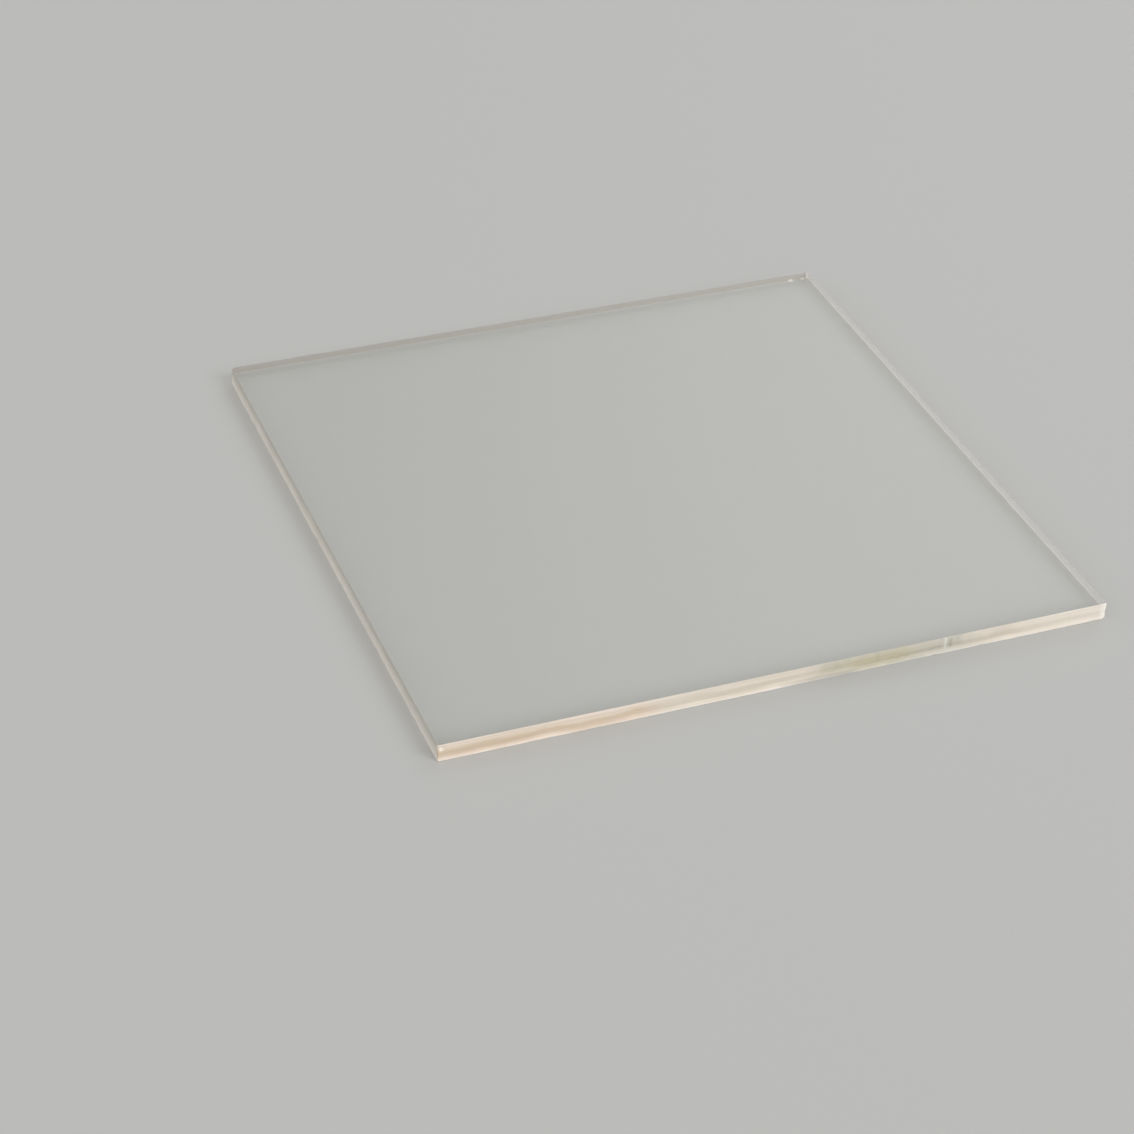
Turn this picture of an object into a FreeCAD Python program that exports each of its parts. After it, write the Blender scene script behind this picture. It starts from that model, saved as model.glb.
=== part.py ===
import FreeCAD, Part
import math
import os

from FreeCAD import Vector

# Clear acrylic sheet, one piece of stock sawn square, lying flat.
# The origin is the middle of the underside. X runs along the front edge, Y runs from the
# front edge to the back edge, and Z is up through the thickness.

# The blank, in millimetres
WIDTH = 150.0
DEPTH = 150.0
THICKNESS = 4.0

# Scraped arrises: the leg that each bevel takes from the face and from the sawn edge
TOP_ARRIS = 0.15
BOTTOM_ARRIS = 0.12

# Corners seen from above: the radius that each one is eased to
FRONT_LEFT_RADIUS = 0.25
FRONT_RIGHT_RADIUS = 0.20
BACK_RIGHT_RADIUS = 0.60
BACK_LEFT_RADIUS = 1.10

# Shell-shaped chips. SPAN is the mouth measured along the edge, BITE is the depth measured
# square to it, and OFFSET is the distance of its middle from the corner. The front tip's chip
# is in the sawn edge itself, DROP under the top face. The others are on the arrises.
BACK_CHIP_OFFSET = 5.0
BACK_CHIP_SPAN = 1.7
BACK_CHIP_BITE = 0.60
BACK_CORNER_CHIP_OFFSET = 1.7
BACK_CORNER_CHIP_SPAN = 1.3
BACK_CORNER_CHIP_BITE = 0.50
FRONT_CHIP_OFFSET = 36.9
FRONT_CHIP_SPAN = 1.0
FRONT_CHIP_BITE = 0.28
FRONT_TIP_CHIP_OFFSET = 1.0
FRONT_TIP_CHIP_DROP = 1.0
FRONT_TIP_CHIP_SPAN = 1.1
FRONT_TIP_CHIP_BITE = 0.25

# Knocked front right corner: a shallow hollow in the vertical arris, whose middle is HEIGHT
# above the underside, and a broken lower tip
KNOCK_HEIGHT = 1.8
KNOCK_SPAN = 2.2
KNOCK_BITE = 0.10
TIP_BREAK_SPAN = 1.7
TIP_BREAK_BITE = 0.42

# Cutting shapes run this far past the stock
OVERRUN = 1.0


def bevelled_section(span):
    """Points (across, up) of a slice square to a pair of edges, with its four arrises scraped."""
    half = span / 2
    return [
        (-half + BOTTOM_ARRIS, 0),
        (half - BOTTOM_ARRIS, 0),
        (half, BOTTOM_ARRIS),
        (half, THICKNESS - TOP_ARRIS),
        (half - TOP_ARRIS, THICKNESS),
        (-half + TOP_ARRIS, THICKNESS),
        (-half, THICKNESS - TOP_ARRIS),
        (-half, BOTTOM_ARRIS),
    ]


def closed_face(points):
    """A flat face inside a closed run of straight lines."""
    return Part.Face(Part.makePolygon(points + points[:1]))


def bar_along_x():
    """The front-to-back slice drawn out along the front edge, past both ends."""
    start = -WIDTH / 2 - OVERRUN
    face = closed_face([Vector(start, across, up) for across, up in bevelled_section(DEPTH)])
    return face.extrude(Vector(WIDTH + 2 * OVERRUN, 0, 0))


def bar_along_y():
    """The side-to-side slice drawn out from front to back, past both ends."""
    start = -DEPTH / 2 - OVERRUN
    face = closed_face([Vector(across, start, up) for across, up in bevelled_section(WIDTH)])
    return face.extrude(Vector(0, DEPTH + 2 * OVERRUN, 0))


def corner_points(right, back, radius):
    """Start, middle and end of the arc that eases one corner, in anticlockwise order."""
    centre = Vector(right * (WIDTH / 2 - radius), back * (DEPTH / 2 - radius), 0)
    on_side = centre + Vector(right * radius, 0, 0)
    on_end = centre + Vector(0, back * radius, 0)
    middle = centre + Vector(right, back, 0) * (radius * math.sqrt(0.5))
    if right * back > 0:
        return on_side, middle, on_end
    return on_end, middle, on_side


def eased_outline():
    """The plan of the sheet as one closed wire, each corner eased to its own radius."""
    corners = [
        corner_points(-1, -1, FRONT_LEFT_RADIUS),
        corner_points(1, -1, FRONT_RIGHT_RADIUS),
        corner_points(1, 1, BACK_RIGHT_RADIUS),
        corner_points(-1, 1, BACK_LEFT_RADIUS),
    ]
    edges = []
    for index, (start, middle, end) in enumerate(corners):
        next_start = corners[(index + 1) % len(corners)][0]
        edges.append(Part.Arc(start, middle, end).toShape())
        edges.append(Part.LineSegment(end, next_start).toShape())
    return Part.Wire(edges)


def plan_block():
    """The eased outline drawn up through the thickness."""
    return Part.Face(eased_outline()).extrude(Vector(0, 0, THICKNESS))


def chip(place, outward, span, bite):
    """The ball that leaves a shell-shaped chip with this mouth and depth at a point of the edge."""
    radius = (span * span / 4 + bite * bite) / (2 * bite)
    direction = Vector(outward).normalize()
    return Part.makeSphere(radius, place + direction * (radius - bite))


def edge_chips():
    """The four chips along the front and back edges."""
    right, back = WIDTH / 2, DEPTH / 2
    under_back = Vector(0, 1, -1)
    over_front = Vector(0, -1, 1)
    out_of_front = Vector(0, -3, 1)
    return [
        chip(Vector(right - BACK_CHIP_OFFSET, back, 0), under_back, BACK_CHIP_SPAN, BACK_CHIP_BITE),
        chip(
            Vector(right - BACK_CORNER_CHIP_OFFSET, back, 0),
            under_back,
            BACK_CORNER_CHIP_SPAN,
            BACK_CORNER_CHIP_BITE,
        ),
        chip(
            Vector(right - FRONT_CHIP_OFFSET, -back, THICKNESS),
            over_front,
            FRONT_CHIP_SPAN,
            FRONT_CHIP_BITE,
        ),
        chip(
            Vector(-right + FRONT_TIP_CHIP_OFFSET, -back, THICKNESS - FRONT_TIP_CHIP_DROP),
            out_of_front,
            FRONT_TIP_CHIP_SPAN,
            FRONT_TIP_CHIP_BITE,
        ),
    ]


def corner_knock():
    """The hollow and the broken tip at the front right corner."""
    corner = Vector(WIDTH / 2, -DEPTH / 2, 0)
    outward = Vector(1, -1, 0)
    set_back = FRONT_RIGHT_RADIUS * (math.sqrt(2) - 1)
    arris = corner - Vector(outward).normalize() * set_back + Vector(0, 0, KNOCK_HEIGHT)
    hollow = chip(arris, outward, KNOCK_SPAN, KNOCK_BITE)
    broken_tip = chip(corner, Vector(1, -1, -1), TIP_BREAK_SPAN, TIP_BREAK_BITE)
    return [hollow, broken_tip]


def acrylic_sheet():
    """The finished sheet: bevelled both ways, eased at its corners, then chipped."""
    blank = bar_along_x().common(bar_along_y()).common(plan_block())
    return blank.cut(edge_chips() + corner_knock()).Solids[0]


os.makedirs("parts", exist_ok=True)
sheet = acrylic_sheet()
sheet.exportStep("parts/acrylic_sheet.step")
print(f"acrylic_sheet: {sheet.Volume:.1f} mm3, valid {sheet.isValid()}, faces {len(sheet.Faces)}")
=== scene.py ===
"""Clear acrylic sheet, sawn square and lying flat, on a plain pale floor in soft studio light."""

import logging
import math
from dataclasses import dataclass
from enum import Enum

import bmesh
import bpy
from bpy.types import Material, Node, NodeSocket, NodeTree, Object
from mathutils import Matrix, Vector
from mathutils.geometry import delaunay_2d_cdt


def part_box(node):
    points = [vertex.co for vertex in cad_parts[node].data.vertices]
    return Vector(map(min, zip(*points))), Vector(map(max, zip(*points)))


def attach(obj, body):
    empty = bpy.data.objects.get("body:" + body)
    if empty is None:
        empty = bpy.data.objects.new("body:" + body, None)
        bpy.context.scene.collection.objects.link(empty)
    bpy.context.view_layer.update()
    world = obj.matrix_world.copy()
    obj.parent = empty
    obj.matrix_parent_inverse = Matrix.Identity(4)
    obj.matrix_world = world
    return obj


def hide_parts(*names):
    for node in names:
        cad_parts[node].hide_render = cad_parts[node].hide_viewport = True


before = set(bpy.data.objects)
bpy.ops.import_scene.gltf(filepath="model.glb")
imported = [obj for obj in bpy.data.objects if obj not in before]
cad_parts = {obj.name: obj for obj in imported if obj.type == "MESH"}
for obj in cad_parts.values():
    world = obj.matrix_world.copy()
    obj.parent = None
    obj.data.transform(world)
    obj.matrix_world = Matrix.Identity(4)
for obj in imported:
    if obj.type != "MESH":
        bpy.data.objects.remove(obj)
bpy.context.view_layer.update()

LOG = logging.getLogger("acrylic_sheet")
NODE = "acrylic_sheet"
MM = 0.001
PHOTO_PIXELS = 1134

Colour = tuple[float, float, float, float]
Stops = tuple[tuple[float, int, int, int], ...]


def srgb(red: float, green: float, blue: float) -> Colour:
    """Turns a colour as seen on a screen into the linear one that a shader takes.

    Args:
        red: Red, 0 to 255.
        green: Green, 0 to 255.
        blue: Blue, 0 to 255.

    Returns:
        The linear colour with an alpha of 1.
    """
    def linear(value: float) -> float:
        """Undoes the screen's curve for one channel."""
        share = value / 255
        return share / 12.92 if share <= 0.04045 else ((share + 0.055) / 1.055) ** 2.4

    return linear(red), linear(green), linear(blue), 1.0


class Tree:
    """A short way to add and join nodes in one node tree."""

    def __init__(self, tree: NodeTree) -> None:
        """Keeps the tree to add to."""
        self.tree = tree

    def add(self, kind: str, settings: dict | None = None, **inputs: object) -> Node:
        """Adds a node, sets its properties and fills its inputs.

        Args:
            kind: The node's type name.
            settings: Properties of the node itself.
            **inputs: What goes into its inputs, named as in fill.

        Returns:
            The new node.
        """
        node = self.tree.nodes.new(kind)
        for name, value in (settings or {}).items():
            setattr(node, name, value)
        self.fill(node, **inputs)
        return node

    def fill(self, node: Node, **inputs: object) -> None:
        """Sets or joins inputs of a node.

        Args:
            node: The node.
            **inputs: Values or outputs, by the input's name with underscores for spaces, or by its
                number as i0, i1.
        """
        for name, value in inputs.items():
            numbered = name[0] == "i" and name[1:].isdigit()
            self.feed(node.inputs[int(name[1:]) if numbered else name.replace("_", " ")], value)

    def feed(self, socket: NodeSocket, value: object) -> None:
        """Joins an output to an input, or sets the input's own value.

        Args:
            socket: The input.
            value: The output to join, or the value.
        """
        if isinstance(value, NodeSocket):
            self.tree.links.new(value, socket)
        else:
            socket.default_value = value

    def maths(self, operation: str, *values: object, clamp: bool = False) -> NodeSocket:
        """Adds a Math node.

        Args:
            operation: What it does.
            *values: Its inputs, in order.
            clamp: Whether the result is kept between 0 and 1.

        Returns:
            Its output.
        """
        node = self.add("ShaderNodeMath", {"operation": operation, "use_clamp": clamp})
        for socket, value in zip(node.inputs, values):
            self.feed(socket, value)
        return node.outputs[0]

    def scaled(self, vector: object, factor: object) -> NodeSocket:
        """Multiplies a vector by a number."""
        settings = {"operation": "SCALE"}
        return self.add("ShaderNodeVectorMath", settings, i0=vector, Scale=factor).outputs[0]

    def product(self, value: object, *factors: object) -> NodeSocket:
        """Multiplies a value by others, with one Math node for each.

        Args:
            value: The value.
            *factors: What it is multiplied by.

        Returns:
            The product.
        """
        for factor in factors:
            value = self.maths("MULTIPLY", value, factor)
        return value

    def ramp(self, value: object, low: float, high: float, start: float = 0.0, end: float = 1.0,
             ) -> NodeSocket:
        """Eases from one number to another while a value crosses a span.

        Args:
            value: The value.
            low: Where the span starts.
            high: Where it ends. It may be the smaller one, which turns the slope round.
            start: The number before the span.
            end: The number after it.

        Returns:
            The eased number.
        """
        settings = {"interpolation_type": "SMOOTHSTEP"}
        node = self.add("ShaderNodeMapRange", settings, i0=value, i1=low, i2=high, i3=start, i4=end)
        return node.outputs["Result"]

    def between(self, value: object, low: float, high: float, soft: float) -> NodeSocket:
        """Gives 1 between two numbers and fades to 0 over a soft end on each side.

        Args:
            value: The value.
            low: Where the span starts.
            high: Where it ends.
            soft: Half the length of each soft end.

        Returns:
            The mask.
        """
        fall = self.ramp(value, high - soft, high + soft, 1.0, 0.0)
        return self.product(self.ramp(value, low - soft, low + soft), fall)

    def blend(self, factor: object, first: object, second: object, mode: str = "MIX") -> NodeSocket:
        """Lays one colour over another.

        Args:
            factor: How much of the second colour's effect shows.
            first: The colour below.
            second: The colour on top.
            mode: How they combine.

        Returns:
            The colour.
        """
        settings = {"data_type": "RGBA", "blend_type": mode}
        return self.add("ShaderNodeMix", settings, i0=factor, i6=first, i7=second).outputs[2]

    def bands(self, value: object, stops: Stops) -> NodeSocket:
        """Turns a value into a colour that runs through a row of stops.

        Args:
            value: The value, 0 to 1.
            stops: The position of each stop, and its colour as seen on a screen, in order.

        Returns:
            The colour.
        """
        node = self.add("ShaderNodeValToRGB", i0=value)
        elements = node.color_ramp.elements
        while len(elements) < len(stops):
            elements.new(0.5)
        for element, (position, *colour) in zip(elements, stops):
            element.position = position
            element.color = srgb(*colour)
        return node.outputs[0]


def principled(name: str) -> tuple[Material, Tree, Node]:
    """Starts a material.

    Args:
        name: Its name.

    Returns:
        The material, its tree and its Principled shader.
    """
    material = bpy.data.materials.new(name)
    material.use_nodes = True
    return material, Tree(material.node_tree), material.node_tree.nodes["Principled BSDF"]


def add_object(name: str, data: bpy.types.ID) -> Object:
    """Makes an object of its data and links it to the scene.

    Args:
        name: The object's name.
        data: Its mesh, camera or light.

    Returns:
        The object.
    """
    made = bpy.data.objects.new(name, data)
    bpy.context.scene.collection.objects.link(made)
    return made


def open_group(name: str, kind: str, inputs: tuple[tuple, ...], outputs: tuple[tuple[str, str], ...],
               ) -> tuple[Tree, dict[str, NodeSocket], Node]:
    """Starts a node group with named sockets.

    Args:
        name: The group's name.
        kind: ShaderNodeTree or GeometryNodeTree.
        inputs: Name, socket type and default for each input.
        outputs: Name and socket type for each output.

    Returns:
        The tree, its inputs by name, and its output node.
    """
    group = bpy.data.node_groups.new(name, kind)
    for label, socket, *default in inputs:
        made = group.interface.new_socket(label, in_out="INPUT", socket_type=socket)
        if default:
            made.default_value = default[0]
    for label, socket in outputs:
        group.interface.new_socket(label, in_out="OUTPUT", socket_type=socket)
    tree = Tree(group)
    entry = tree.add("NodeGroupInput")
    given = {socket.name: socket for socket in entry.outputs if socket.name}
    return tree, given, tree.add("NodeGroupOutput")


@dataclass(frozen=True)
class Pattern:
    """Noise with its own number of waves per millimetre along X, Y and Z, eased into a mask.

    The span is the part of the noise over which the mask rises. Without one it stays plain noise.
    """

    per_mm: tuple[float, float, float]
    span: tuple[float, float] | None
    detail: float

    def build(self, tree: Tree, place: object, seed: object) -> NodeSocket:
        """Adds the pattern's nodes.

        Args:
            tree: The tree to add to.
            place: The point, in millimetres.
            seed: Picks another pattern of the same kind.

        Returns:
            The mask, 0 to 1, or the noise, about 0.5 on average.
        """
        stretch = {"operation": "MULTIPLY"}
        waves = tree.add("ShaderNodeVectorMath", stretch, i0=place, i1=self.per_mm).outputs[0]
        noise = tree.add("ShaderNodeTexNoise", {"noise_dimensions": "4D"}, Vector=waves, W=seed)
        tree.fill(noise, Scale=1.0, Detail=self.detail)
        return tree.ramp(noise.outputs[0], *self.span) if self.span else noise.outputs[0]


SAW_MARKS = {
    "Streak": Pattern((0.045, 0.045, 1.9), (0.32, 0.68), 4.0),
    "Tooth": Pattern((1.6, 1.6, 0.12), (0.35, 0.70), 3.0),
    "Drift": Pattern((0.030, 0.030, 0.05), (0.36, 0.64), 1.0),
    "Fine": Pattern((0.5, 0.5, 14.0), None, 5.0),
}
POLISH_MARKS = {
    "Haze": Pattern((0.018,) * 3, (0.35, 0.65), 2.0),
    "Wiped": Pattern((0.035, 2.2, 0.5), (0.60, 0.80), 4.0),
    "Wave": Pattern((0.040,) * 3, None, 1.0),
}


def marks_group(name: str, patterns: dict[str, Pattern]) -> NodeTree:
    """Builds a shader group that turns a place in millimetres into one output for each pattern.

    Args:
        name: The group's name.
        patterns: The name of each output, and its pattern.

    Returns:
        The group.
    """
    number = "NodeSocketFloat"
    tree, given, end = open_group(
        name,
        "ShaderNodeTree",
        (("Place", "NodeSocketVector"), ("Seed", number)),
        tuple((label, number) for label in patterns),
    )
    for socket, pattern in zip(end.inputs, patterns.values()):
        tree.feed(socket, pattern.build(tree, given["Place"], given["Seed"]))
    return tree.tree


class Opening(Enum):
    """Which way a chip opens from the sheet, as right, back and up."""

    UNDER_BACK = (0.0, 1.0, -1.0)
    OVER_FRONT = (0.0, -1.0, 1.0)
    OUT_OF_FRONT = (0.0, -3.0, 1.0)
    FRONT_RIGHT = (1.0, -1.0, 0.0)
    LOW_FRONT_RIGHT = (1.0, -1.0, -1.0)


@dataclass(frozen=True)
class Corner:
    """One vertical corner: which one it is, its radius, its arc's start, its whitening with painted
    glint, and that whitening's reach.
    """

    right: int
    back: int
    radius: float
    start_angle: float
    glint_and_wear: float
    glint_and_wear_reach: float


@dataclass(frozen=True)
class Row:
    """One ring of points: how far in and how high it lies, its shares of arris and wall, and how
    scraped it is, with painted glow near the underside.
    """

    inset: float
    height: float
    arris: float = 0.0
    wall: float = 0.0
    wear_and_glint: float = 0.0


@dataclass(frozen=True)
class Station:
    """One column of a ring: its flat point, its way out, its freedom to move and its corner's whitening
    with painted glint.
    """

    point: Vector
    way: Vector
    freedom: float
    wear_and_glint: float


@dataclass(frozen=True)
class Chip:
    """A shell-shaped bite: its place, the way it opens, its mouth, its depth and how white it broke.

    The bruise is how far the whitened skin reaches round it, and the core how far that is full, both as
    shares of the mouth's radius. The lip is the share of the bite over which the ripples set in.
    """

    place: tuple[float, float, float]
    opening: Opening
    span: float
    bite: float
    whiteness: float = 1.0
    bruise: float = 1.0
    core: float = 0.9
    ripple: float = 0.012
    ripple_pitch: float = 0.28
    lip: float = 0.25

    def bruised(self, point: Vector) -> float:
        """Tells how whitened the skin round the chip is.

        Args:
            point: A point of the slab's skin, in millimetres.

        Returns:
            The whiteness, 0 where the bruise doesn't reach.
        """
        reach = (point - Vector(self.place)).length / (self.span / 2)
        if reach >= self.bruise:
            return 0.0
        return self.whiteness * min(1.0, (self.bruise - reach) / (self.bruise - self.core))

    def press(self, point: Vector) -> Vector | None:
        """Moves a point of the slab's skin onto the broken shell.

        Args:
            point: The point, in millimetres.

        Returns:
            The point on the shell, or None where the chip doesn't reach.
        """
        radius = (self.span * self.span / 4 + self.bite * self.bite) / (2 * self.bite)
        outward = Vector(self.opening.value).normalized()
        centre = Vector(self.place) + outward * (radius - self.bite)
        way = point - centre
        if way.length >= radius:
            return None
        shell = centre + way.normalized() * radius
        inside = min((radius - way.length) / (self.lip * self.bite), 1.0)
        wave = math.sin(math.tau * (shell - Vector(self.place)).length / self.ripple_pitch)
        return shell - way.normalized() * self.ripple * inside * (0.5 + 0.5 * wave)


@dataclass(frozen=True)
class SawnRelief:
    """What the saw and the scraper left on the edge, as a geometry node tree.

    The lengths are in millimetres. Every point moves inwards only, so the sheet keeps its size.
    """

    scrape_depth: float = 0.035
    tooth_depth: float = 0.030
    arris_wander: float = 0.07
    nibble_depth: float = 0.15
    nibble_pitch: float = 2.6
    nibble_bowl: tuple[float, float] = (0.42, 0.12)
    nibble_share: float = 0.34
    scrape: Pattern = Pattern((0.05, 0.05, 3.0), (0.35, 0.75), 3.0)
    tooth: Pattern = Pattern((1.1, 1.1, 0.08), (0.40, 0.72), 3.0)
    wander: Pattern = Pattern((0.16,) * 3, (0.38, 0.72), 2.0)
    seed: float = 7.0

    def group(self) -> NodeTree:
        """Builds the tree: move the edge's points, realise, and give each face its finish.

        Returns:
            The tree.
        """
        length = "NodeSocketFloat"
        tree, given, end = open_group(
            "sawn_relief",
            "GeometryNodeTree",
            (
                ("Slab", "NodeSocketGeometry"),
                ("Scrape Depth", length, self.scrape_depth * MM),
                ("Tooth Depth", length, self.tooth_depth * MM),
                ("Arris Wander", length, self.arris_wander * MM),
                ("Nibble Depth", length, self.nibble_depth * MM),
                ("Nibble Pitch", length, self.nibble_pitch * MM),
                ("Seed", length, self.seed),
                ("Polished", "NodeSocketMaterial"),
                ("Sawn", "NodeSocketMaterial"),
            ),
            (("Slab", "NodeSocketGeometry"),),
        )
        position = tree.add("GeometryNodeInputPosition").outputs[0]
        place = tree.scaled(position, 1 / MM)
        inward = self.stored(tree, "inward", "FLOAT_VECTOR")
        wall = self.stored(tree, "wall", "FLOAT")
        arris = self.stored(tree, "arris", "FLOAT")
        seed = given["Seed"]
        scrape = tree.product(self.scrape.build(tree, place, seed), given["Scrape Depth"])
        tooth = tree.product(self.tooth.build(tree, place, seed), given["Tooth Depth"])
        wander = tree.product(self.wander.build(tree, place, seed), given["Arris Wander"])
        nibbles = tree.product(self.nibbles(tree, position, given), given["Nibble Depth"])
        on_wall = tree.product(wall, tree.maths("ADD", scrape, tooth))
        on_arris = tree.product(arris, tree.maths("ADD", wander, nibbles))
        way = tree.scaled(inward, tree.maths("ADD", on_wall, on_arris))
        moved = tree.add("GeometryNodeSetPosition", Geometry=given["Slab"], Offset=way).outputs[0]
        shape = tree.add("GeometryNodeRealizeInstances", Geometry=moved).outputs[0]
        for name, chosen in (("Polished", True), ("Sawn", self.stored(tree, "sawn", "BOOLEAN"))):
            dressed = {"Geometry": shape, "Selection": chosen, "Material": given[name]}
            shape = tree.add("GeometryNodeSetMaterial", **dressed).outputs[0]
        tree.feed(end.inputs[0], shape)
        return tree.tree

    @staticmethod
    def stored(tree: Tree, name: str, kind: str) -> NodeSocket:
        """Reads one of the slab's own attributes."""
        return tree.add("GeometryNodeInputNamedAttribute", {"data_type": kind}, Name=name).outputs[0]

    def nibbles(self, tree: Tree, position: object, given: dict[str, NodeSocket]) -> NodeSocket:
        """Sows small bites along the arrises in a share of the cells, each deepest at its middle.

        Args:
            tree: The tree.
            position: Each point's place, in metres.
            given: The tree's inputs by name.

        Returns:
            The depth of the bite at each point, 0 to 1.
        """
        cells = tree.add(
            "ShaderNodeTexVoronoi",
            {"voronoi_dimensions": "4D"},
            Vector=position,
            W=given["Seed"],
            Scale=tree.maths("DIVIDE", 1.0, given["Nibble Pitch"]),
            Randomness=1.0,
        )
        bowl = tree.ramp(cells.outputs["Distance"], *self.nibble_bowl)
        red = tree.add("ShaderNodeSeparateXYZ", i0=cells.outputs["Color"]).outputs[0]
        return tree.product(bowl, tree.maths("LESS_THAN", red, self.nibble_share))

    def apply(self, slab: Object, polished: Material, sawn: Material) -> None:
        """Runs the tree on the slab and turns the result into its plain mesh.

        Args:
            slab: The slab, with its stored attributes.
            polished: The finish of the two clear faces.
            sawn: The finish of the edge.
        """
        modifier = slab.modifiers.new("sawn_relief", "NODES")
        modifier.node_group = self.group()
        for item in modifier.node_group.interface.items_tree:
            if item.in_out == "INPUT" and item.name in ("Polished", "Sawn"):
                modifier[item.identifier] = polished if item.name == "Polished" else sawn
        depsgraph = bpy.context.evaluated_depsgraph_get()
        depsgraph.update()
        mesh = bpy.data.meshes.new_from_object(
            slab.evaluated_get(depsgraph), preserve_all_data_layers=True, depsgraph=depsgraph
        )
        slab.modifiers.clear()
        slab.data = mesh


@dataclass(frozen=True)
class PolishedFace:
    """The clear cast face. Light from the lamps and the room passes straight through it."""

    tint: Colour = (0.985, 0.99, 0.98, 1.0)
    passed: Colour = (0.955, 0.96, 0.95, 1.0)
    refraction: float = 1.49
    roughness: float = 0.004
    haze: float = 0.010
    wiped: float = 0.020
    wave_height: float = 0.008
    seed: float = 5.0

    def build(self) -> Material:
        """Makes the material.

        Returns:
            The material.
        """
        material, tree, surface = principled("polished_face")
        place = tree.scaled(tree.add("ShaderNodeTexCoord").outputs["Object"], 1 / MM)
        polish = marks_group("polish_marks", POLISH_MARKS)
        marks = tree.add("ShaderNodeGroup", {"node_tree": polish}, Place=place, Seed=self.seed).outputs
        rough = tree.maths("MULTIPLY_ADD", marks["Haze"], self.haze, self.roughness)
        rough = tree.maths("MULTIPLY_ADD", marks["Wiped"], self.wiped, rough)
        depth = self.wave_height * MM
        bump = tree.add("ShaderNodeBump", Strength=1.0, Distance=depth, Height=marks["Wave"])
        tree.fill(surface, Base_Color=self.tint, Roughness=rough, Normal=bump.outputs[0])
        tree.fill(surface, IOR=self.refraction, Transmission_Weight=1.0)
        straight = tree.add("ShaderNodeBsdfTransparent", Color=self.passed).outputs[0]
        ray = tree.add("ShaderNodeLightPath").outputs
        passes = tree.maths("MAXIMUM", ray["Is Diffuse Ray"], ray["Is Shadow Ray"])
        lit = tree.add("ShaderNodeMixShader", i0=passes, i1=surface.outputs[0], i2=straight)
        tree.fill(tree.tree.nodes["Material Output"], Surface=lit.outputs[0])
        return material


@dataclass(frozen=True)
class Stain:
    """A soft-ended patch of the front edge, with its spans along and up in millimetres.

    Its fades along and up are twice as long as its soft values. It takes in the whole height unless
    it has a span up, and the base is the share of it that shows below and above that span.
    """

    colour: Colour
    along: tuple[float, float]
    up: tuple[float, float] | None = None
    soft: tuple[float, float] = (6.0, 0.5)
    base: float = 0.0

    def mask(self, tree: Tree, along: object, up: object) -> NodeSocket:
        """Adds the stain's mask.

        Args:
            tree: The material's tree.
            along: The place along the front edge, in millimetres.
            up: The height, in millimetres.

        Returns:
            How much of the stain shows.
        """
        mask = tree.between(along, *self.along, self.soft[0])
        if self.up is None:
            return mask
        height = tree.between(up, *self.up, self.soft[1])
        return tree.product(mask, tree.maths("MULTIPLY_ADD", height, 1 - self.base, self.base))


BRIGHT = srgb(253, 248, 240)


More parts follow.
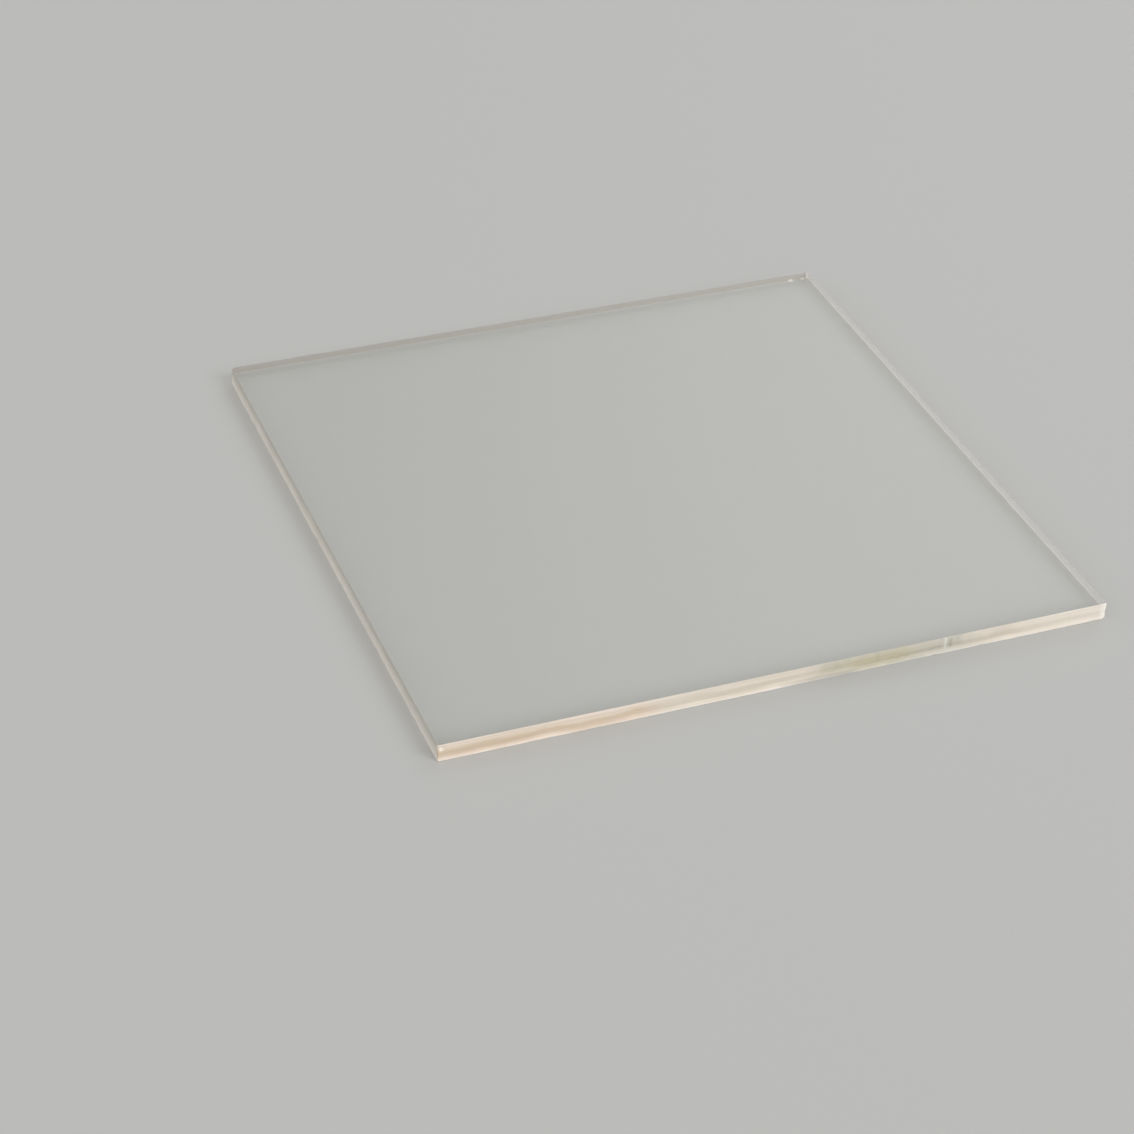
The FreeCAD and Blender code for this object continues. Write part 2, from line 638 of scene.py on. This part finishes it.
@dataclass(frozen=True)
class SawnEdge:
    """The frosted cream of the sawn edge: pale at top and bottom, warmer and duller in the middle.

    Lengths are in millimetres, places along the front edge are from its middle, and the heights of
    the bands are shares of the thickness. A reach holds the distances from a face at which that
    face's look starts and is full. The sway moves the bands up and the stains along.
    """

    half_width: float
    half_depth: float
    thickness: float
    nick_place: float
    # The plain and warm bands are pale at top and bottom: partly the frosted skin's tone, partly
    # painted glow of light scattered at the arrises.
    plain: Stops = (
        (0.03, 247, 238, 228),
        (0.17, 240, 230, 217),
        (0.27, 233, 223, 209),
        (0.41, 218, 208, 194),
        (0.58, 218, 208, 194),
        (0.74, 226, 217, 204),
        (0.95, 229, 220, 208),
    )
    warm: Stops = (
        (0.03, 247, 232, 217),
        (0.16, 237, 220, 204),
        (0.33, 217, 198, 177),
        (0.55, 211, 192, 169),
        (0.72, 226, 212, 194),
        (0.92, 233, 219, 206),
    )
    # Painted light and shade of the left wall, which faces away from the lamp: light near the
    # underside, shaded towards the top.
    left_side_painted_light: Stops = (
        (0.08, 244, 238, 231),
        (0.42, 230, 224, 215),
        (0.70, 212, 208, 199),
        (0.95, 195, 191, 182),
    )
    low_shade: Stain = Stain((0.76, 0.77, 0.77, 1.0), (0.0, 14.5), (-1.0, 1.1), (5.0, 0.6))
    dull: Stain = Stain((0.81, 0.845, 0.855, 1.0), (8.0, 46.0))
    yellow: Stain = Stain((0.93, 0.90, 0.75, 1.0), (11.0, 28.0), (1.4, 3.2), base=0.45)
    grey: Stain = Stain((0.91, 0.93, 0.92, 1.0), (26.0, 44.0), (1.8, 2.6), (6.0, 0.4))
    smudge: Stain = Stain((0.91, 0.93, 0.92, 1.0), (8.0, 46.0))
    foot: Stain = Stain(BRIGHT, (26.0, 49.0), (0.85, 1.3), (6.0, 0.3))
    # Painted highlight and painted shade on either side of the nick.
    nick_painted_highlight: Stain = Stain(BRIGHT, (-0.80, -0.30), (1.4, 5.0), (0.25, 0.4))
    nick_painted_shade: Stain = Stain((0.80, 0.79, 0.76, 1.0), (0.40, 1.05), (1.4, 5.0), (0.25, 0.4))
    foot_share: float = 0.16
    nick_highlight_share: float = 0.7
    streak: Colour = (0.88, 0.86, 0.82, 1.0)
    streak_share: float = 0.7
    # Painted shade laid over the top arris, which catches more of the lamp.
    rim: Colour = (0.86, 0.85, 0.83, 1.0)
    rim_painted_shade_reach: tuple[float, float] = (0.17, 0.08)
    front_reach: tuple[float, float] = (0.8, 0.3)
    left_reach: tuple[float, float] = (1.0, 0.4)
    blots: Pattern = Pattern((0.30, 0.30, 0.42), (0.50, 0.60), 2.0)
    blots_seed: float = 11.0
    sway: Pattern = Pattern((0.11,) * 3, None, 2.0)
    sway_seed: float = 5.0
    sway_up: float = 0.45
    sway_along: float = 22.0
    warm_end: float = -29.0
    warm_soft: float = 7.0
    side_warmth: float = 0.6
    clean_end: float = 56.0
    clean_soft: float = 5.0
    clean_share: float = 0.28
    scraped_and_glint_span: tuple[float, float] = (0.30, 0.95)
    scraped_and_glint_tooth: float = 0.5
    # Seen from inside: the right wall painted light and the back wall painted shade, as lamp light
    # through the frosted edge would fall.
    inside_right_painted_light: Colour = srgb(236, 232, 230)
    inside_back_painted_shade: Colour = srgb(176, 171, 165)
    back_reach: tuple[float, float] = (2.0, 0.5)
    right_reach: tuple[float, float] = (0.4, 0.8)
    inner_rim_painted_light_reach: tuple[float, float] = (0.25, 0.10)
    inner_rim_painted_light_share: float = 0.8
    broken_and_glint_span: tuple[float, float] = (0.78, 0.95)
    broken_and_glint_share: float = 0.40
    shade: Colour = (0.55, 0.53, 0.49, 1.0)
    roughness: float = 0.5
    tooth_gloss: float = 0.12
    tooth_height: float = 0.6
    bump_strength: float = 0.35
    bump_depth: float = 0.03
    seed: float = 3.0

    def outside(self, tree: Tree, place: object, marks: object, wear_and_glint: object) -> NodeSocket:
        """Lays the colours of the edge as it is seen from outside.

        Args:
            tree: The material's tree.
            place: Object coordinates, in millimetres.
            marks: The outputs of the saw marks' group.
            wear_and_glint: How scraped or broken the skin is, with painted glint at the corners and
                painted glow near the underside.

        Returns:
            The colour.
        """
        along, across, up = tree.add("ShaderNodeSeparateXYZ", i0=place).outputs
        sway = tree.maths("SUBTRACT", self.sway.build(tree, place, self.sway_seed), 0.5)
        drifted = tree.maths("MULTIPLY_ADD", sway, self.sway_along, along)
        height = tree.maths("MULTIPLY_ADD", up, 1 / self.thickness, tree.product(sway, self.sway_up))
        front = tree.ramp(across, *(reach - self.half_depth for reach in self.front_reach))
        side = tree.maths("SUBTRACT", 1.0, front)
        left = tree.ramp(along, *(reach - self.half_width for reach in self.left_reach))
        warm_front = tree.ramp(drifted, self.warm_end + self.warm_soft, self.warm_end - self.warm_soft)
        warm_front = tree.product(front, warm_front)
        warm_side = tree.product(side, marks["Drift"], self.side_warmth)
        warmth = tree.maths("ADD", warm_front, warm_side, clamp=True)
        colour = tree.blend(warmth, tree.bands(height, self.plain), tree.bands(height, self.warm))
        # Painted light and shade on the left wall.
        colour = tree.blend(tree.product(side, left), colour, tree.bands(height, self.left_side_painted_light))
        # Painted shade on the top arris.
        rim = tree.ramp(up, *(self.thickness - reach for reach in self.rim_painted_shade_reach))
        colour = tree.blend(rim, colour, self.rim, "MULTIPLY")
        from_nick = tree.maths("SUBTRACT", along, self.nick_place)
        # Painted highlight beside the nick.
        light = tree.product(front, self.nick_painted_highlight.mask(tree, from_nick, up), self.nick_highlight_share)
        tooth = tree.maths("MULTIPLY_ADD", marks["Tooth"], self.scraped_and_glint_tooth, -self.scraped_and_glint_tooth / 2)
        # Scraped and broken skin, and painted glint and glow, laid on in the bright colour.
        scraped = tree.ramp(tree.maths("ADD", wear_and_glint, tooth), *self.scraped_and_glint_span)
        colour = tree.blend(tree.maths("MAXIMUM", scraped, light), colour, BRIGHT)
        clean = (self.clean_end - self.clean_soft, self.clean_end + self.clean_soft)
        clean = tree.product(front, tree.ramp(drifted, *clean, 0.0, self.clean_share))
        colour = tree.blend(clean, colour, BRIGHT)
        for stain in (self.low_shade, self.dull, self.yellow, self.grey):
            mask = tree.product(front, stain.mask(tree, drifted, up))
            colour = tree.blend(mask, colour, stain.colour, "MULTIPLY")
        streak = tree.product(marks["Streak"], self.streak_share)
        colour = tree.blend(streak, colour, self.streak, "MULTIPLY")
        blots = self.blots.build(tree, place, self.blots_seed)
        smudge = tree.product(front, self.smudge.mask(tree, drifted, up), blots)
        colour = tree.blend(smudge, colour, self.smudge.colour, "MULTIPLY")
        foot = tree.product(front, self.foot.mask(tree, drifted, up), self.foot_share)
        colour = tree.blend(foot, colour, self.foot.colour)
        # Painted shade beside the nick.
        nick_shade_mask = tree.product(front, self.nick_painted_shade.mask(tree, from_nick, up))
        return tree.blend(nick_shade_mask, colour, self.nick_painted_shade.colour, "MULTIPLY")

    def inside(self, tree: Tree, place: object, wear_and_glint: object) -> NodeSocket:
        """Lays the colours of the edge as it is seen from inside, through a clear face, with painted
        light on the right wall and the top rim and painted shade on the back wall.

        Args:
            tree: The material's tree.
            place: Object coordinates, in millimetres.
            wear_and_glint: How scraped or broken the skin is, with painted glint at the corners and
                painted glow near the underside.

        Returns:
            The colour.
        """
        along, across, up = tree.add("ShaderNodeSeparateXYZ", i0=place).outputs
        behind = tree.ramp(across, *(self.half_depth - reach for reach in self.back_reach))
        left = tree.ramp(along, *(self.half_width - reach for reach in self.right_reach))
        colour = tree.blend(tree.product(behind, left), self.inside_right_painted_light, self.inside_back_painted_shade)
        # Painted light on the top rim seen from inside.
        rim = (self.thickness - reach for reach in self.inner_rim_painted_light_reach)
        rim = tree.ramp(up, *rim, 0.0, self.inner_rim_painted_light_share)
        # Broken skin seen from inside, lightened, with painted glint and glow.
        broken = tree.ramp(wear_and_glint, *self.broken_and_glint_span, 0.0, self.broken_and_glint_share)
        return tree.blend(tree.maths("MAXIMUM", rim, broken), colour, BRIGHT)

    def build(self) -> Material:
        """Makes the material.

        Returns:
            The material.
        """
        material, tree, surface = principled("sawn_edge")
        place = tree.scaled(tree.add("ShaderNodeTexCoord").outputs["Object"], 1 / MM)
        group = marks_group("saw_marks", SAW_MARKS)
        marks = tree.add("ShaderNodeGroup", {"node_tree": group}, Place=place, Seed=self.seed).outputs
        wear_and_glint = tree.add("ShaderNodeAttribute", {"attribute_name": "wear_and_glint"}).outputs["Fac"]
        inner = tree.add("ShaderNodeNewGeometry").outputs["Backfacing"]
        outside, inside = self.outside(tree, place, marks, wear_and_glint), self.inside(tree, place, wear_and_glint)
        colour = tree.blend(inner, outside, inside)
        gloss = self.roughness - self.tooth_gloss / 2
        gloss = tree.maths("MULTIPLY_ADD", marks["Tooth"], self.tooth_gloss, gloss)
        height = tree.maths("MULTIPLY_ADD", marks["Tooth"], self.tooth_height, marks["Fine"])
        strength, depth = self.bump_strength, self.bump_depth * MM
        bump = tree.add("ShaderNodeBump", Strength=strength, Distance=depth, Height=height)
        tree.fill(surface, Base_Color=colour, Roughness=gloss, Normal=bump.outputs[0])
        straight = tree.add("ShaderNodeBsdfTransparent", Color=self.shade).outputs[0]
        shadow = tree.add("ShaderNodeLightPath").outputs["Is Shadow Ray"]
        lit = tree.add("ShaderNodeMixShader", i0=shadow, i1=surface.outputs[0], i2=straight)
        tree.fill(tree.tree.nodes["Material Output"], Surface=lit.outputs[0])
        return material


@dataclass
class Sheet:
    """The sheet: one slab of acrylic with scraped arrises, eased corners and chips.

    Lengths are in millimetres until the mesh is written. The edge's rows lie at the edge steps from
    each arris and at the middle heights. Freedom is the share of the saw's relief that a point takes:
    it grows with a corner's radius and with the distance from the corner and from the arrises.
    """

    width: float
    depth: float
    thickness: float
    top_arris: float = 0.15
    bottom_arris: float = 0.12
    corner_steps: int = 10
    coarse_pitch: float = 0.40
    fine_pitch: float = 0.07
    least_radius: float = 0.06
    face_insets: tuple[float, ...] = (0.09, 0.20, 0.34, 0.52, 0.75, 1.05, 1.5)
    grid_pitch: float = 7.5
    nick_place: float = 37.3
    nick_depth: float = 0.10
    nick_width: float = 0.5
    nick_foot: float = 0.8
    nick_rise: float = 0.8
    nick_skin: float = 0.5
    edge_steps: tuple[float, ...] = (0.0, 0.09, 0.19, 0.30, 0.44, 0.62, 0.86, 1.14)
    middle_heights: tuple[float, ...] = (2.15, 1.8, 1.45)
    arris_reach: float = 0.4
    wall_reach: float = 0.15
    top_freedom: float = 0.3
    rim_freedom: float = 0.45
    top_wear: float = 0.1
    top_wear_reach: float = 0.3
    # Whitening near the underside: scraped skin and painted glow that lifts the lower arris out of its
    # shade.
    low_glow_and_wear: float = 0.6
    low_glow_and_wear_reach: float = 0.4
    low_arris_glow_and_wear: float = 0.7
    free_radius: float = 1.2
    corner_freedom: float = 0.6
    corner_reach: float = 1.5
    fine_reach: float = 0.9
    pitch_growth: float = 0.12
    crisp_angle: float = 28.0
    # Each corner's last two values whiten its vertical arris: partly scraped skin, partly a painted
    # glint, strongest at the front right.
    corners: tuple[Corner, ...] = (
        Corner(-1, -1, 0.25, 180.0, 0.35, 0.5),
        Corner(1, -1, 0.20, 270.0, 1.0, 2.0),
        Corner(1, 1, 0.60, 0.0, 0.6, 0.6),
        Corner(-1, 1, 1.10, 90.0, 0.6, 0.6),
    )
    relief: SawnRelief = SawnRelief()

    def chips(self) -> list[Chip]:
        """Lists the larger chips, at the same places as in the solid.

        Returns:
            The chips.
        """
        right, back, top = self.width / 2, self.depth / 2, self.thickness
        eased = self.corners[1].radius * (1 - math.sqrt(0.5))
        return [
            Chip((right - 5.0, back, 0.0), Opening.UNDER_BACK, 1.7, 0.60),
            Chip((right - 1.7, back, 0.0), Opening.UNDER_BACK, 1.3, 0.50, 1.0, 2.4),
            Chip((right - 36.9, -back, top), Opening.OVER_FRONT, 1.0, 0.28, 0.6),
            # The front tip's chip is whitened over a wide bruise: partly broken skin, partly a painted
            # highlight of its lit bowl.
            Chip((1.0 - right, -back, top - 1.0), Opening.OUT_OF_FRONT, 1.1, 0.25, 0.58, 1.7),
            Chip((right - eased, eased - back, 1.8), Opening.FRONT_RIGHT, 2.2, 0.10, 0.8),
            Chip((right, -back, 0.0), Opening.LOW_FRONT_RIGHT, 1.7, 0.42),
        ]

    def stations(self) -> list[list[float]]:
        """Spaces the columns along each side, close together beside corners and chips.

        Returns:
            For each side, anticlockwise from the front, the shares of its length.
        """
        right, back = self.width / 2, self.depth / 2
        marks = [Vector(chip.place[:2]) for chip in self.chips()]
        marks.append(Vector((self.nick_place, -back)))
        ends = [Vector((corner.right * right, corner.back * back)) for corner in self.corners]
        sides = []
        for start, end in zip(ends, ends[1:] + ends[:1]):
            length = (end - start).length
            reached = self.fine_pitch
            shares = []
            while reached < length - self.fine_pitch:
                shares.append(reached / length)
                here = start.lerp(end, reached / length)
                near = min([(here - mark).length for mark in marks]) - self.fine_reach
                near = min(near, reached, length - reached)
                reached += min(max(self.fine_pitch, self.pitch_growth * near), self.coarse_pitch)
            sides.append(shares)
        return sides

    def ring(self, inset: float, sides: list[list[float]]) -> list[Station]:
        """Samples the eased outline, drawn in by some distance, anticlockwise from the front left.

        Args:
            inset: How far inside the outline the ring lies.
            sides: The columns' places along each side.

        Returns:
            The columns' stations, the same number for every inset.
        """
        arcs = []
        for corner in self.corners:
            radius = max(corner.radius - inset, self.least_radius)
            centre = Vector((
                corner.right * (self.width / 2 - inset - radius),
                corner.back * (self.depth / 2 - inset - radius),
            ))
            angles = [
                math.radians(corner.start_angle + 90.0 * step / self.corner_steps)
                for step in range(self.corner_steps + 1)
            ]
            ways = [Vector((math.cos(angle), math.sin(angle))) for angle in angles]
            freedom = min(corner.radius / self.free_radius, self.corner_freedom)
            arcs.append([Station(centre + radius * way, way, freedom, corner.glint_and_wear) for way in ways])
        ring = []
        for index, (arc, shares) in enumerate(zip(arcs, sides)):
            following = (index + 1) % len(arcs)
            start, end, way = arc[-1].point, arcs[following][0].point, arc[-1].way
            length = (end - start).length
            ring += arc
            for share in shares:
                at = index if share < 0.5 else following
                near = min(share, 1 - share) * length
                freedom = min(1.0, near / self.corner_reach + arcs[at][0].freedom)
                wear_and_glint = self.corners[at].glint_and_wear * max(0.0, 1 - near / self.corners[at].glint_and_wear_reach)
                ring.append(Station(start.lerp(end, share), way, freedom, wear_and_glint))
        return ring

    def rows(self) -> list[Row]:
        """Lists each ring from inside the top face, over the edge, to inside the underside.

        Returns:
            The rings' rows, from top to bottom.
        """
        top, low, high = self.top_arris, self.bottom_arris, self.thickness
        over = [Row(top + inset, high) for inset in reversed(self.face_insets)]
        for inset, arris in ((top, self.rim_freedom), (top / 2, self.top_freedom)):
            over += [Row(inset, high - (top - inset), arris, 0.0, self.top_wear)]
        heights = [high - top - step for step in self.edge_steps] + list(self.middle_heights)
        heights += [low + step for step in reversed(self.edge_steps)]
        wall = []
        for height in heights:
            below, above = high - top - height, height - low
            nearest = min(below, above)
            arris = max(0.0, 1 - nearest / self.arris_reach) ** 2
            arris *= self.top_freedom if below < above else 1.0
            top_worn = self.top_wear * (1 - below / self.top_wear_reach)
            # Painted glow near the underside, with scraped skin.
            low_glow_and_scrape = self.low_glow_and_wear * (1 - above / self.low_glow_and_wear_reach)
            free = min(1.0, nearest / self.wall_reach)
            wall.append(Row(0.0, height, arris, free, max(top_worn, low_glow_and_scrape, 0.0)))
        under = [Row(inset, low - inset, 1.0, 0.0, self.low_arris_glow_and_wear) for inset in (low / 2, low)]
        under += [Row(low + inset, 0.0) for inset in self.face_insets]
        return over + wall + under

    def face_points(self, rim: list[Vector]) -> tuple[list[Vector], list[list[int]]]:
        """Fills a ring with triangles over a coarse grid.

        Args:
            rim: The ring, in order.

        Returns:
            The points, with the rim's first, and the triangles.
        """
        across, along = round(self.width / self.grid_pitch), round(self.depth / self.grid_pitch)
        grid = [
            Vector((self.width * (i / across - 0.5), self.depth * (j / along - 0.5)))
            for i in range(1, across)
            for j in range(1, along)
        ]
        loop = [(i, (i + 1) % len(rim)) for i in range(len(rim))]
        inside_only, weld = 1, 1e-7
        points, _, faces, *_ = delaunay_2d_cdt(rim + grid, loop, [], inside_only, weld)
        return points, faces

    def slab(self) -> Object:
        """Builds the slab before the saw's marks: two clear faces and a band round the edge.

        Returns:
            The slab, with each point's way in and its shares of arris, wall and wear.
        """
        mesh = bmesh.new()
        inward = mesh.verts.layers.float_vector.new("inward")
        arris, wall, wear_and_glint = (mesh.verts.layers.float.new(name) for name in ("arris", "wall", "wear_and_glint"))
        sawn = mesh.faces.layers.bool.new("sawn")
        sides = self.stations()
        bands = []
        for row in self.rows():
            flat = row.height in (0.0, self.thickness)
            tilt = 0.0 if flat else min(1.0, row.inset / self.top_arris * 2)
            lean = Vector((0, 0, tilt if row.height < self.thickness / 2 else -tilt))
            band = []
            for station in self.ring(row.inset, sides):
                vert = mesh.verts.new((station.point.x * MM, station.point.y * MM, row.height * MM))
                vert[inward] = lean - station.way.to_3d()
                vert[arris] = row.arris * station.freedom
                vert[wall] = row.wall * station.freedom
                vert[wear_and_glint] = max(row.wear_and_glint, station.wear_and_glint)
                band.append(vert)
            bands.append(band)
        count = len(bands[0])
        inner = len(self.face_insets)
        for index, (upper, lower) in enumerate(zip(bands, bands[1:])):
            edge_row = inner <= index < len(bands) - 1 - inner
            for i in range(count):
                j = (i + 1) % count
                face = mesh.faces.new((upper[i], lower[i], lower[j], upper[j]))
                face[sawn] = edge_row
        for band, height, turned in ((bands[0], self.thickness, False), (bands[-1], 0.0, True)):
            rim = [Vector((v.co.x / MM, v.co.y / MM)) for v in band]
            points, triangles = self.face_points(rim)
            verts = band + [mesh.verts.new((p.x * MM, p.y * MM, height * MM)) for p in points[count:]]
            for triangle in triangles:
                mesh.faces.new([verts[i] for i in (reversed(triangle) if turned else triangle)])
        data = bpy.data.meshes.new(NODE + "_finish")
        mesh.to_mesh(data)
        mesh.free()
        return add_object(NODE + "_finish", data)

    def cut_nick(self, point: Vector) -> None:
        """Moves a point of the front edge into the nick, which starts some way above the underside.

        Args:
            point: The point, in millimetres.
        """
        off = abs(point.x - self.nick_place) / (self.nick_width / 2)
        if off < 1 and point.y < self.nick_skin - self.depth / 2:
            rise = min(max((point.z - self.nick_foot) / self.nick_rise, 0.0), 1.0)
            point.y += self.nick_depth * (1 - off) * rise

    def break_edges(self, slab: Object) -> None:
        """Presses the chips and the nick into the sawn slab, whitens them and keeps arrises crisp.

        Args:
            slab: The slab after the saw's marks.
        """
        mesh = bmesh.new()
        mesh.from_mesh(slab.data)
        wear_and_glint = mesh.verts.layers.float["wear_and_glint"]
        sawn = next(i for i, m in enumerate(slab.data.materials) if m.name == "sawn_edge")
        chips = self.chips()
        moved = {}
        for vert in mesh.verts:
            point = vert.co / MM
            self.cut_nick(point)
            for chip in chips:
                vert[wear_and_glint] = max(vert[wear_and_glint], chip.bruised(point))
                pressed = chip.press(point)
                if pressed is not None:
                    point = pressed
                    moved[vert] = chip.whiteness
            vert.co = point * MM
        for vert, whiteness in moved.items():
            vert[wear_and_glint] = whiteness
        for face in mesh.faces:
            if sum(vert in moved for vert in face.verts) >= 2:
                face.material_index = sawn
            face.smooth = face.material_index == sawn
        for edge in mesh.edges:
            if len(edge.link_faces) == 2:
                edge.smooth = edge.calc_face_angle(0.0) < math.radians(self.crisp_angle)
        mesh.to_mesh(slab.data)
        mesh.free()

    def build(self) -> Object:
        """Builds the sheet and dresses it.

        Returns:
            The finished sheet.
        """
        slab = self.slab()
        edge = SawnEdge(self.width / 2, self.depth / 2, self.thickness, self.nick_place)
        self.relief.apply(slab, PolishedFace().build(), edge.build())
        self.break_edges(slab)
        for name in ("inward", "arris", "wall", "sawn"):
            slab.data.attributes.remove(slab.data.attributes[name])
        return slab


@dataclass(frozen=True)
class PhotoCamera:
    """The camera, solved from the sheet's corners in the photograph.

    The aim is in millimetres, the distance in metres, and the angles are in degrees.
    """

    aim: tuple[float, float, float] = (-29.0, -26.1, 4.0)
    distance: float = 0.6160
    azimuth: float = 22.32
    elevation: float = 35.13
    roll: float = 2.23
    focal_pixels: float = 2881.4
    sensor: float = 36.0

    def build(self) -> None:
        """Makes the camera and gives it to the scene."""
        turn, tilt, roll = (math.radians(a) for a in (self.azimuth, self.elevation, self.roll))
        flat = math.cos(tilt)
        forward = Vector((math.sin(turn) * flat, math.cos(turn) * flat, -math.sin(tilt)))
        level = Vector((math.cos(turn), -math.sin(turn), 0.0))
        upright = level.cross(forward)
        right = level * math.cos(roll) + upright * math.sin(roll)
        up = upright * math.cos(roll) - level * math.sin(roll)
        data = bpy.data.cameras.new("camera")
        data.sensor_width = self.sensor
        data.lens = self.focal_pixels / PHOTO_PIXELS * self.sensor
        data.clip_start = 0.01
        camera = add_object("camera", data)
        place = Vector(self.aim) * MM - forward * self.distance
        turned = Matrix((right, up, -forward)).transposed().to_4x4()
        camera.matrix_world = Matrix.Translation(place) @ turned
        bpy.context.scene.camera = camera


@dataclass(frozen=True)
class Studio:
    """A plain pale floor, a pale room and one wide soft lamp.

    The floor's radius is in metres, and its drop in millimetres. A glow's cosines are those of the
    angles from its middle at which it starts and is full.
    """

    floor_colour: Colour = srgb(185, 185, 183)
    floor_radius: float = 6.0
    floor_sides: int = 96
    floor_drop: float = 0.12
    floor_roughness: float = 0.5
    floor_specular: float = 0.3
    backdrop: Colour = srgb(184, 184, 182)
    white: Colour = (1.0, 1.0, 1.0, 1.0)
    mirrored: Colour = (1.0, 1.0, 0.99, 1.0)
    fill: float = 0.51
    left_glow: float = 0.55
    window: float = 0.90
    window_way: tuple[float, float, float] = (0.60, 0.60, 0.53)
    window_cosines: tuple[float, float] = (0.90, 0.995)
    softbox: float = 0.9
    softbox_cosines: tuple[float, float] = (0.80, 0.97)
    lamp_strength: float = 1.86
    lamp_angle: float = 34.0
    lamp_way: tuple[float, float, float] = (0.60, -1.05, 0.85)

    def floor(self) -> None:
        """Makes the floor, a hair under the sheet so that their faces don't coincide."""
        mesh = bmesh.new()
        size = {"segments": self.floor_sides, "radius": self.floor_radius}
        bmesh.ops.create_circle(mesh, cap_ends=True, **size)
        data = bpy.data.meshes.new("floor")
        mesh.to_mesh(data)
        mesh.free()
        data.transform(Matrix.Translation((0.0, 0.0, -self.floor_drop * MM)))
        material, tree, surface = principled("floor")
        tree.fill(surface, Base_Color=self.floor_colour, Roughness=self.floor_roughness)
        tree.fill(surface, Specular_IOR_Level=self.floor_specular)
        data.materials.append(material)
        floor = add_object("floor", data)

    def room(self) -> None:
        """Lights the sheet from all round, more from a wide bright patch beyond its right side."""
        world = bpy.data.worlds.new("room")
        bpy.context.scene.world = world
        world.use_nodes = True
        tree = Tree(world.node_tree)
        world.node_tree.nodes.clear()
        way = tree.add("ShaderNodeTexCoord").outputs["Generated"]
        patch = self.glow(tree, way, self.window_way, self.window_cosines, self.window)
        box = self.glow(tree, way, self.lamp_way, self.softbox_cosines, self.softbox)
        right = tree.add("ShaderNodeSeparateXYZ", i0=way).outputs[0]
        left = tree.maths("MAXIMUM", tree.product(right, -self.left_glow), 0.0)
        strength = tree.maths("ADD", tree.maths("ADD", patch, self.fill), left)
        glows = tree.maths("ADD", tree.maths("ADD", patch, box), self.backdrop[1])
        path = tree.add("ShaderNodeLightPath").outputs
        light = tree.add("ShaderNodeBackground", Color=self.white, Strength=strength).outputs[0]
        mirrored = tree.add("ShaderNodeBackground", Color=self.mirrored, Strength=glows).outputs[0]
        plain = tree.add("ShaderNodeBackground", Color=self.backdrop, Strength=1.0).outputs[0]
        straight = tree.maths("MAXIMUM", path["Is Camera Ray"], path["Is Transmission Ray"])
        lit = tree.add("ShaderNodeMixShader", i0=path["Is Glossy Ray"], i1=light, i2=mirrored)
        room = tree.add("ShaderNodeMixShader", i0=straight, i1=lit.outputs[0], i2=plain)
        tree.add("ShaderNodeOutputWorld", Surface=room.outputs[0])

    @staticmethod
    def glow(tree: Tree, way: object, centre: tuple[float, float, float], cosines: tuple[float, float],
             strength: float) -> NodeSocket:
        """Lays a soft round glow in one direction of the room.

        Args:
            tree: The world's tree.
            way: The direction that is looked in.
            centre: The middle of the glow, as a direction.
            cosines: The cosines of the angles at which the glow starts and is full.
            strength: How bright it is there.

        Returns:
            The brightness.
        """
        middle = tuple(Vector(centre).normalized())
        towards = tree.add("ShaderNodeVectorMath", {"operation": "DOT_PRODUCT"}, i0=way, i1=middle)
        return tree.ramp(towards.outputs["Value"], *cosines, 0.0, strength)

    def lamp(self) -> None:
        """Hangs the soft lamp, which is so wide and far off that it lights the whole floor evenly."""
        data = bpy.data.lights.new("soft_lamp", "SUN")
        data.angle = math.radians(self.lamp_angle)
        data.energy = self.lamp_strength
        lamp = add_object("soft_lamp", data)
        lamp.visible_glossy = False
        lamp.visible_transmission = False
        way = Vector(self.lamp_way)
        lamp.matrix_world = Matrix.Translation(way) @ way.to_track_quat("Z", "Y").to_matrix().to_4x4()

    def build(self) -> None:
        """Makes the floor, the room and the lamp."""
        self.floor()
        self.room()
        self.lamp()


def main() -> None:
    """Builds the sheet, dresses it and sets the studio round it."""
    logging.basicConfig(level=logging.INFO, format="%(name)s: %(message)s")
    low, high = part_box(NODE)
    size = (Vector(high) - Vector(low)) / MM
    sheet = Sheet(width=round(size.x, 3), depth=round(size.y, 3), thickness=round(size.z, 3))
    slab = sheet.build()
    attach(slab, "root")
    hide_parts(NODE)
    triangles = sum(len(face.vertices) - 2 for face in slab.data.polygons)
    LOG.info("%s: %d triangles", slab.name, triangles)
    Studio().build()
    PhotoCamera().build()
    bpy.context.scene.view_settings.view_transform = "Standard"


if __name__ == "__main__":
    main()
